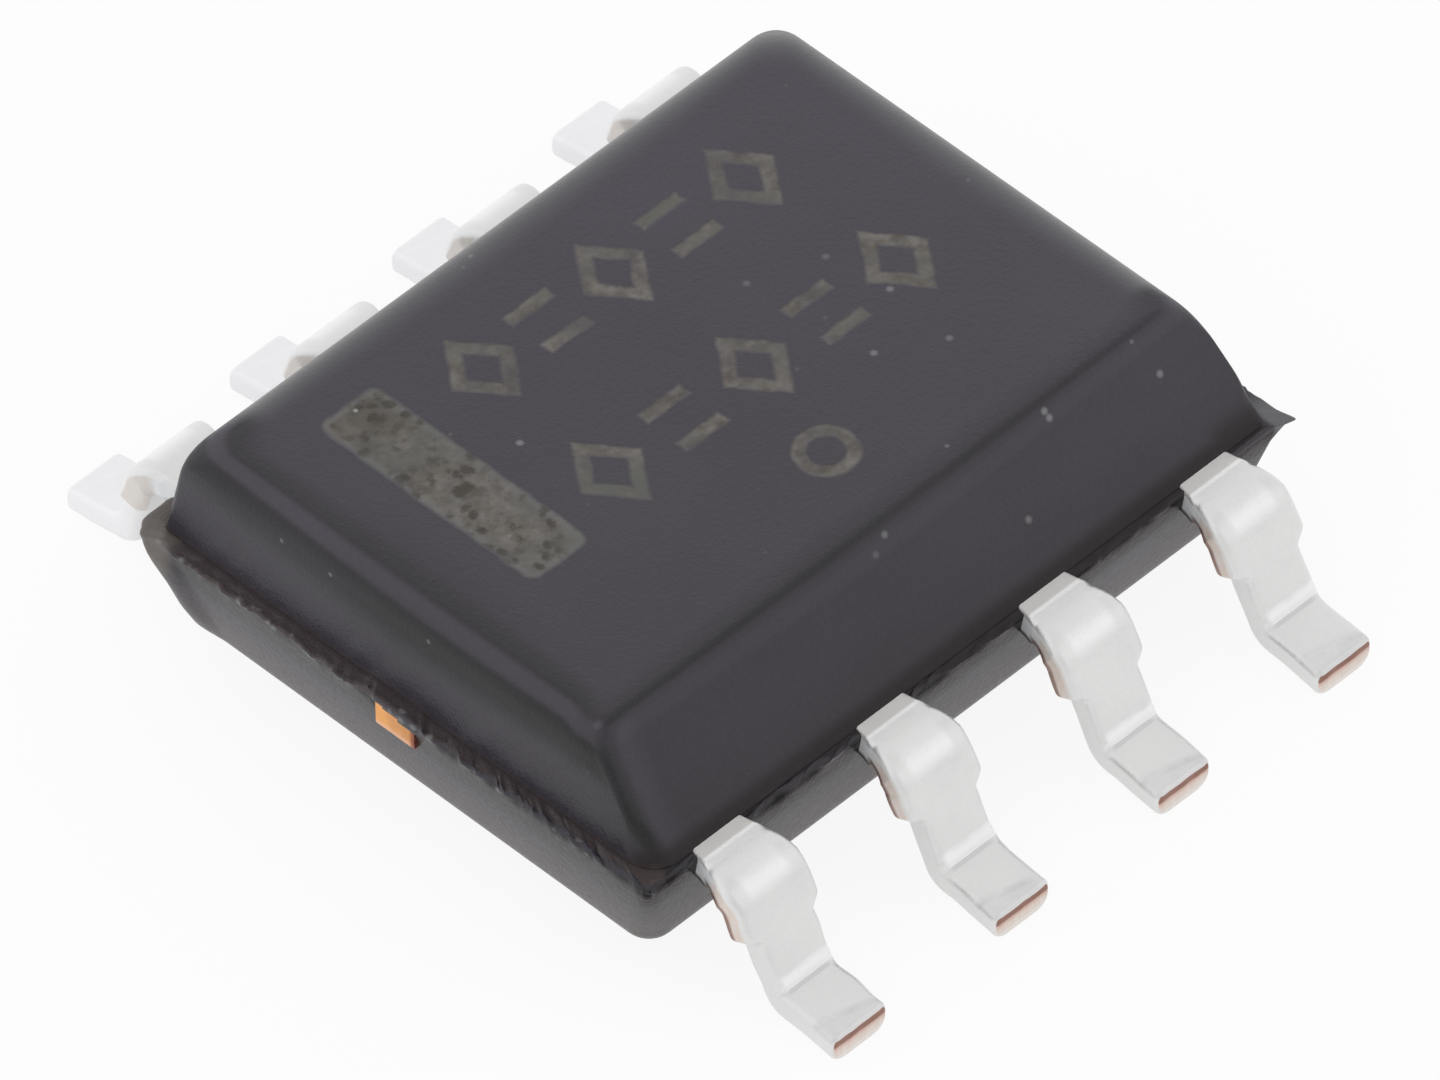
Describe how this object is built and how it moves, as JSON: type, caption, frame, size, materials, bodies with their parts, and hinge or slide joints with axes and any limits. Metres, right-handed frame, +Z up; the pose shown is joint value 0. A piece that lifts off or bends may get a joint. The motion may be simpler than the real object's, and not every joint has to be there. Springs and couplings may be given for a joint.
{
  "type": "voltage supervisor chip",
  "caption": "Surface-mount voltage supervisor chip: a moulded epoxy body with gull-wing leads on two sides, a sloped face beside the first row, and die, paddle and bond wires inside.",
  "frame": {"origin": "middle of the package on the seating plane that the toes stand on", "axes": "+X along the body from the end beside lead 1 to the other end, -Y out over leads 1 to 4, +Z up out of the top face"},
  "size_m": [0.005, 0.006, 0.0016],
  "materials": {
    "epoxy": "charcoal moulded epoxy, matt with a faint grain",
    "tinned_lead": "matt tin on copper, bare copper at the sheared ends",
    "copper": "bare sheared copper",
    "die_glue": "silver-filled adhesive",
    "silicon": "polished silicon",
    "gold": "drawn gold wire"
  },
  "bodies": {
    "root": {"mould_body": "epoxy", "lead_1": "tinned_lead", "lead_2": "tinned_lead", "lead_3": "tinned_lead", "lead_4": "tinned_lead", "lead_5": "tinned_lead", "lead_6": "tinned_lead", "lead_7": "tinned_lead", "lead_8": "tinned_lead", "die_paddle": "copper", "die_attach": "die_glue", "die": "silicon", "bond_wire_1": "gold", "bond_wire_2": "gold", "bond_wire_3": "gold", "bond_wire_4": "gold", "bond_wire_5": "gold", "bond_wire_6": "gold", "bond_wire_7": "gold", "bond_wire_8": "gold"}
  },
  "joints": []
}
